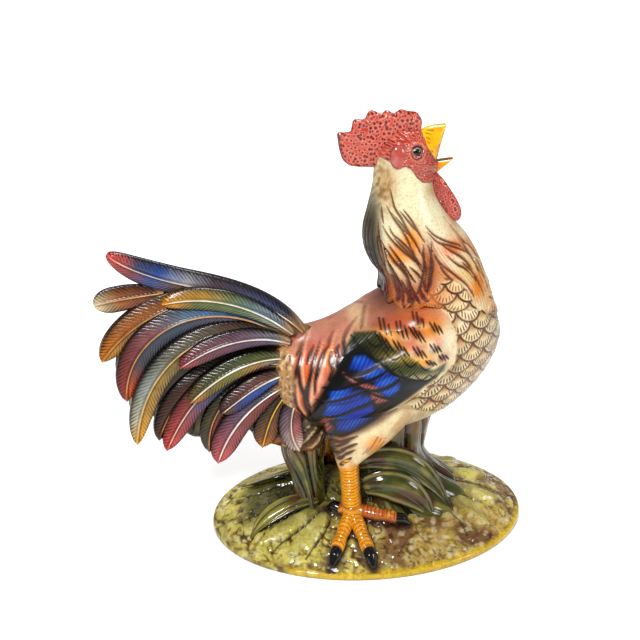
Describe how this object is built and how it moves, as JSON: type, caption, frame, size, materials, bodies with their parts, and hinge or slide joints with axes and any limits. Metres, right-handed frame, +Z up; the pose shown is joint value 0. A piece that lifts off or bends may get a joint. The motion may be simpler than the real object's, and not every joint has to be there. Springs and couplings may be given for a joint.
{
  "type": "rooster figurine",
  "caption": "Crowing rooster figurine in glazed earthenware: fanned tail of overlapping quilled feathers, on an oval grass mound whose clumps prop the belly and tail.",
  "frame": {"origin": "On the table, under the middle of the figurine's overall length, in its middle plane.", "axes": "+X is where the bird looks, +Y is the bird's left side, +Z is up."},
  "size_m": [0.3968, 0.216, 0.4],
  "materials": {
    "mound": "Yellow-green glaze with sponged brown stipple, yellow at the rim",
    "grass": "Dark green and brown streaked glaze, glossy",
    "torso": "Coral and tan glaze over cream, with brown-outlined breast scales",
    "hackles": "Cream glaze with dark brown grooves, orange and pink towards the points",
    "face": "Stippled coral red glaze",
    "comb": "Coral red glaze with dark ringed dimples",
    "beak": "Bright yellow glaze",
    "eye": "Glossy black glaze",
    "earlobe": "Smooth mauve-pink glaze",
    "wattle": "Coral red glaze with dark dimples",
    "wing": "Black and cobalt blue flight feathers below a green band and an orange shoulder",
    "thigh": "Cream glaze with brown strokes",
    "shank": "Orange-yellow glaze with fine red-brown scutes",
    "foot": "Orange glaze with brown scutes and black claws",
    "tail_core": "Brown glaze with cream strokes",
    "crest_sickle": "Pink and blue-violet glaze with a pale quill",
    "stub": "Orange-brown and cream glaze",
    "covert_1": "Green and yellow glaze with a pale quill and dark barbs",
    "covert_2": "Purple-pink glaze with a pale quill and dark barbs",
    "covert_3": "Yellow-green and ochre glaze with a pale quill and dark barbs",
    "covert_4": "Blue and brown glaze with a pale quill and dark barbs",
    "sickle_1": "Orange-brown glaze with a pale quill and dark barbs",
    "sickle_2": "Blue and red glaze with a pale quill and dark barbs",
    "sickle_3": "Grey-white and olive glaze with a yellow tip and dark barbs",
    "sickle_4": "Dark brown glaze with a pale quill and dark barbs",
    "sickle_5": "Pink-red glaze with a pale quill and dark barbs",
    "sickle_6": "Dark olive-brown glaze with a pale quill",
    "rump_1": "Pink and blue glaze with a pale quill and dark barbs",
    "rump_2": "Brown glaze with a yellow quill and black tip",
    "rump_3": "Pinkish white glaze with a pale quill and dark barbs"
  },
  "bodies": {
    "root": {"base_mound": "mound", "tuft_front": "grass", "tuft_rear": "grass", "blade_rear_right": "grass", "blade_rear_left": "grass", "blade_front_right": "grass", "blade_front_left": "grass", "blade_low_right": "grass", "blade_low_left": "grass", "torso": "torso", "hackle_cape": "hackles", "head": "face", "comb": "comb", "beak_upper": "beak", "beak_lower": "beak", "eye_right": "eye", "earlobe_right": "earlobe", "wattle_right": "wattle", "wing_right": "wing", "thigh_right": "thigh", "shank_right": "shank", "foot_right": "foot", "eye_left": "eye", "earlobe_left": "earlobe", "wattle_left": "wattle", "wing_left": "wing", "thigh_left": "thigh", "shank_left": "shank", "foot_left": "foot", "tail_core": "tail_core", "sickle_crest": "crest_sickle", "sickle_stub": "stub", "covert_right_1": "covert_1", "covert_left_1": "covert_1", "covert_right_2": "covert_2", "covert_left_2": "covert_2", "covert_right_3": "covert_3", "covert_left_3": "covert_3", "covert_right_4": "covert_4", "covert_left_4": "covert_4", "sickle_right_1": "sickle_1", "sickle_left_1": "sickle_1", "sickle_right_2": "sickle_2", "sickle_left_2": "sickle_2", "sickle_right_3": "sickle_3", "sickle_left_3": "sickle_3", "sickle_right_4": "sickle_4", "sickle_left_4": "sickle_4", "sickle_right_5": "sickle_5", "sickle_left_5": "sickle_5", "sickle_right_6": "sickle_6", "sickle_left_6": "sickle_6", "rump_right_1": "rump_1", "rump_left_1": "rump_1", "rump_right_2": "rump_2", "rump_left_2": "rump_2", "rump_right_3": "rump_3", "rump_left_3": "rump_3"}
  },
  "joints": []
}
